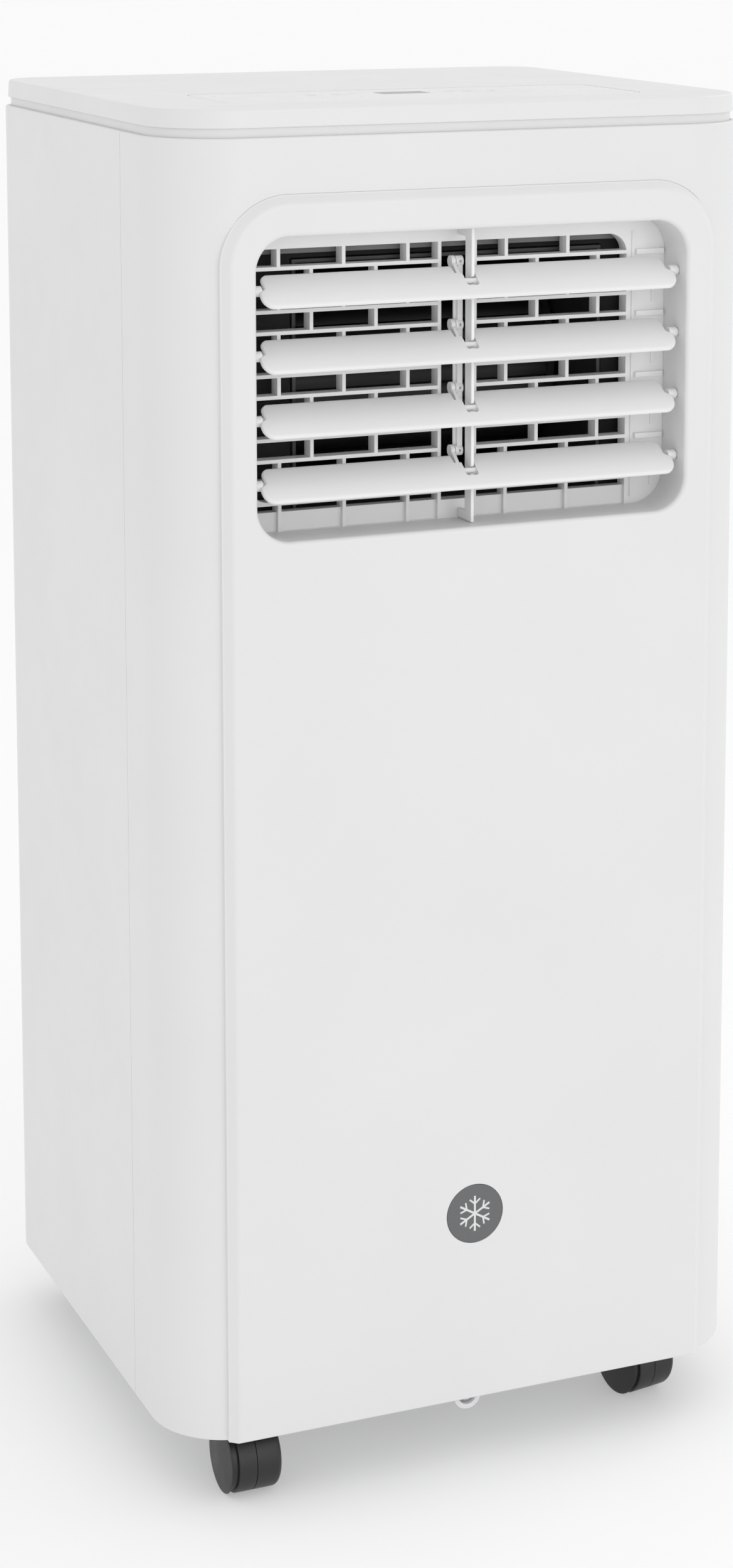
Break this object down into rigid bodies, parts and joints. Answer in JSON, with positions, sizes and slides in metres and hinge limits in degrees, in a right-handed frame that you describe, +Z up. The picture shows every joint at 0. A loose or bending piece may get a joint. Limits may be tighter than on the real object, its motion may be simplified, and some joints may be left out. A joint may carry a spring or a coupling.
{
  "type": "portable air conditioner",
  "caption": "Tall white portable air conditioner on casters, with a front louvre over a brick-pattern grille, rear intake panels and a hose collar.",
  "frame": {"origin": "on the floor under the middle of the cabinet", "axes": "+Z up, front towards -Y, +X to the right seen from the front"},
  "size_m": [0.319, 0.295, 0.7],
  "materials": {
    "white_plastic": "fine satin moulded white",
    "panel_gloss": "smooth white overlay",
    "grey_plastic": "moulded grey",
    "black_plastic": "satin black",
    "display_window": "smoky display window, unlit",
    "badge_grey": "dark grey badge",
    "rubber": "black rubber",
    "steel": "zinc-plated steel",
    "compressor_black": "black painted steel",
    "copper": "drawn copper tube",
    "aluminium": "finned aluminium",
    "board_green": "printed circuit board"
  },
  "bodies": {
    "body": {"base_pan": "grey_plastic", "front_shell": "white_plastic", "rear_shell": "white_plastic", "top_lid": "white_plastic", "control_panel": "panel_gloss", "display_window": "display_window", "display_board": "board_green", "badge": "badge_grey", "outlet_grille": "white_plastic", "louvre_support": "white_plastic", "bottom_lug": "white_plastic", "bottom_lug_screw": "steel", "exhaust_collar": "white_plastic", "upper_drain_cap": "grey_plastic", "base_drain_cap": "grey_plastic", "cord_gland": "rubber", "evaporator_scroll": "grey_plastic", "evaporator_fan_motor": "steel", "condenser_scroll": "grey_plastic", "condenser_fan_motor": "steel", "evaporator_coil": "aluminium", "condenser_coil": "aluminium", "mid_deck": "grey_plastic", "compressor": "compressor_black", "compressor_mount_1": "rubber", "compressor_mount_2": "rubber", "compressor_mount_3": "rubber", "discharge_pipe": "copper", "suction_pipe": "copper", "electronics_box": "grey_plastic", "control_board": "board_green", "run_capacitor": "aluminium"},
    "louvre_1": {"louvre_blade_1": "white_plastic"},
    "louvre_2": {"louvre_blade_2": "white_plastic"},
    "louvre_3": {"louvre_blade_3": "white_plastic"},
    "louvre_4": {"louvre_blade_4": "white_plastic"},
    "link_rod": {"louvre_link_rod": "white_plastic"},
    "upper_intake": {"upper_intake_grille": "white_plastic", "upper_filter": "grey_plastic"},
    "lower_intake": {"lower_intake_grille": "white_plastic", "lower_filter": "grey_plastic"},
    "evaporator_fan_wheel": {"evaporator_fan": "black_plastic"},
    "condenser_fan_wheel": {"condenser_fan": "black_plastic"},
    "caster_front_left_swivel": {"caster_front_left_housing": "black_plastic", "caster_front_left_axle": "steel"},
    "caster_front_left_roller_a": {"caster_front_left_wheel_a": "black_plastic"},
    "caster_front_left_roller_b": {"caster_front_left_wheel_b": "black_plastic"},
    "caster_front_right_swivel": {"caster_front_right_housing": "black_plastic", "caster_front_right_axle": "steel"},
    "caster_front_right_roller_a": {"caster_front_right_wheel_a": "black_plastic"},
    "caster_front_right_roller_b": {"caster_front_right_wheel_b": "black_plastic"},
    "caster_rear_left_swivel": {"caster_rear_left_housing": "black_plastic", "caster_rear_left_axle": "steel"},
    "caster_rear_left_roller_a": {"caster_rear_left_wheel_a": "black_plastic"},
    "caster_rear_left_roller_b": {"caster_rear_left_wheel_b": "black_plastic"},
    "caster_rear_right_swivel": {"caster_rear_right_housing": "black_plastic", "caster_rear_right_axle": "steel"},
    "caster_rear_right_roller_a": {"caster_rear_right_wheel_a": "black_plastic"},
    "caster_rear_right_roller_b": {"caster_rear_right_wheel_b": "black_plastic"}
  },
  "joints": [
    {"name": "louvre_1_tilt", "type": "hinge", "parent": "body", "child": "louvre_1", "pos_m": [0, -0.137, 0.6125], "axis": [1, 0, 0], "range_deg": [-45, 25]},
    {"name": "louvre_2_tilt", "type": "hinge", "parent": "body", "child": "louvre_2", "pos_m": [0, -0.137, 0.581], "axis": [1, 0, 0], "range_deg": [-45, 25]},
    {"name": "louvre_3_tilt", "type": "hinge", "parent": "body", "child": "louvre_3", "pos_m": [0, -0.137, 0.5495], "axis": [1, 0, 0], "range_deg": [-45, 25]},
    {"name": "louvre_4_tilt", "type": "hinge", "parent": "body", "child": "louvre_4", "pos_m": [0, -0.137, 0.518], "axis": [1, 0, 0], "range_deg": [-45, 25]},
    {"name": "link_rod_pivot", "type": "hinge", "parent": "louvre_1", "child": "link_rod", "pos_m": [-0.00195, -0.12696, 0.62123], "axis": [1, 0, 0], "range_deg": [-25, 45]},
    {"name": "upper_intake_tilt", "type": "hinge", "parent": "body", "child": "upper_intake", "pos_m": [0, 0.1455, 0.427], "axis": [-1, 0, 0], "range_deg": [0, 50]},
    {"name": "lower_intake_tilt", "type": "hinge", "parent": "body", "child": "lower_intake", "pos_m": [0, 0.1455, 0.087], "axis": [-1, 0, 0], "range_deg": [0, 50]},
    {"name": "evaporator_fan_spin", "type": "hinge", "parent": "body", "child": "evaporator_fan_wheel", "pos_m": [0, -0.015, 0.56], "axis": [1, 0, 0], "continuous": true},
    {"name": "condenser_fan_spin", "type": "hinge", "parent": "body", "child": "condenser_fan_wheel", "pos_m": [0, 0.018, 0.315], "axis": [1, 0, 0], "continuous": true},
    {"name": "caster_front_left_turn", "type": "hinge", "parent": "body", "child": "caster_front_left_swivel", "pos_m": [-0.117, -0.1143, 0.042], "axis": [0, 0, 1], "continuous": true},
    {"name": "caster_front_left_roll_a", "type": "hinge", "parent": "caster_front_left_swivel", "child": "caster_front_left_roller_a", "pos_m": [-0.117, -0.1251, 0.018], "axis": [-1, 0, 0], "continuous": true},
    {"name": "caster_front_left_roll_b", "type": "hinge", "parent": "caster_front_left_swivel", "child": "caster_front_left_roller_b", "pos_m": [-0.117, -0.1251, 0.018], "axis": [-1, 0, 0], "continuous": true},
    {"name": "caster_front_right_turn", "type": "hinge", "parent": "body", "child": "caster_front_right_swivel", "pos_m": [0.117, -0.1143, 0.042], "axis": [0, 0, 1], "continuous": true},
    {"name": "caster_front_right_roll_a", "type": "hinge", "parent": "caster_front_right_swivel", "child": "caster_front_right_roller_a", "pos_m": [0.11513, -0.10366, 0.018], "axis": [0.9848, 0.1736, 0], "continuous": true},
    {"name": "caster_front_right_roll_b", "type": "hinge", "parent": "caster_front_right_swivel", "child": "caster_front_right_roller_b", "pos_m": [0.11513, -0.10366, 0.018], "axis": [0.9848, 0.1736, 0], "continuous": true},
    {"name": "caster_rear_left_turn", "type": "hinge", "parent": "body", "child": "caster_rear_left_swivel", "pos_m": [-0.117, 0.106, 0.042], "axis": [0, 0, 1], "continuous": true},
    {"name": "caster_rear_left_roll_a", "type": "hinge", "parent": "caster_rear_left_swivel", "child": "caster_rear_left_roller_a", "pos_m": [-0.117, 0.1168, 0.018], "axis": [1, 0, 0], "continuous": true},
    {"name": "caster_rear_left_roll_b", "type": "hinge", "parent": "caster_rear_left_swivel", "child": "caster_rear_left_roller_b", "pos_m": [-0.117, 0.1168, 0.018], "axis": [1, 0, 0], "continuous": true},
    {"name": "caster_rear_right_turn", "type": "hinge", "parent": "body", "child": "caster_rear_right_swivel", "pos_m": [0.117, 0.106, 0.042], "axis": [0, 0, 1], "continuous": true},
    {"name": "caster_rear_right_roll_a", "type": "hinge", "parent": "caster_rear_right_swivel", "child": "caster_rear_right_roller_a", "pos_m": [0.117, 0.1168, 0.018], "axis": [1, 0, 0], "continuous": true},
    {"name": "caster_rear_right_roll_b", "type": "hinge", "parent": "caster_rear_right_swivel", "child": "caster_rear_right_roller_b", "pos_m": [0.117, 0.1168, 0.018], "axis": [1, 0, 0], "continuous": true}
  ],
  "couplings": [
    {"joint": "louvre_2_tilt", "follows": "louvre_1_tilt", "ratio": 1},
    {"joint": "louvre_3_tilt", "follows": "louvre_1_tilt", "ratio": 1},
    {"joint": "louvre_4_tilt", "follows": "louvre_1_tilt", "ratio": 1},
    {"joint": "link_rod_pivot", "follows": "louvre_1_tilt", "ratio": -1}
  ]
}
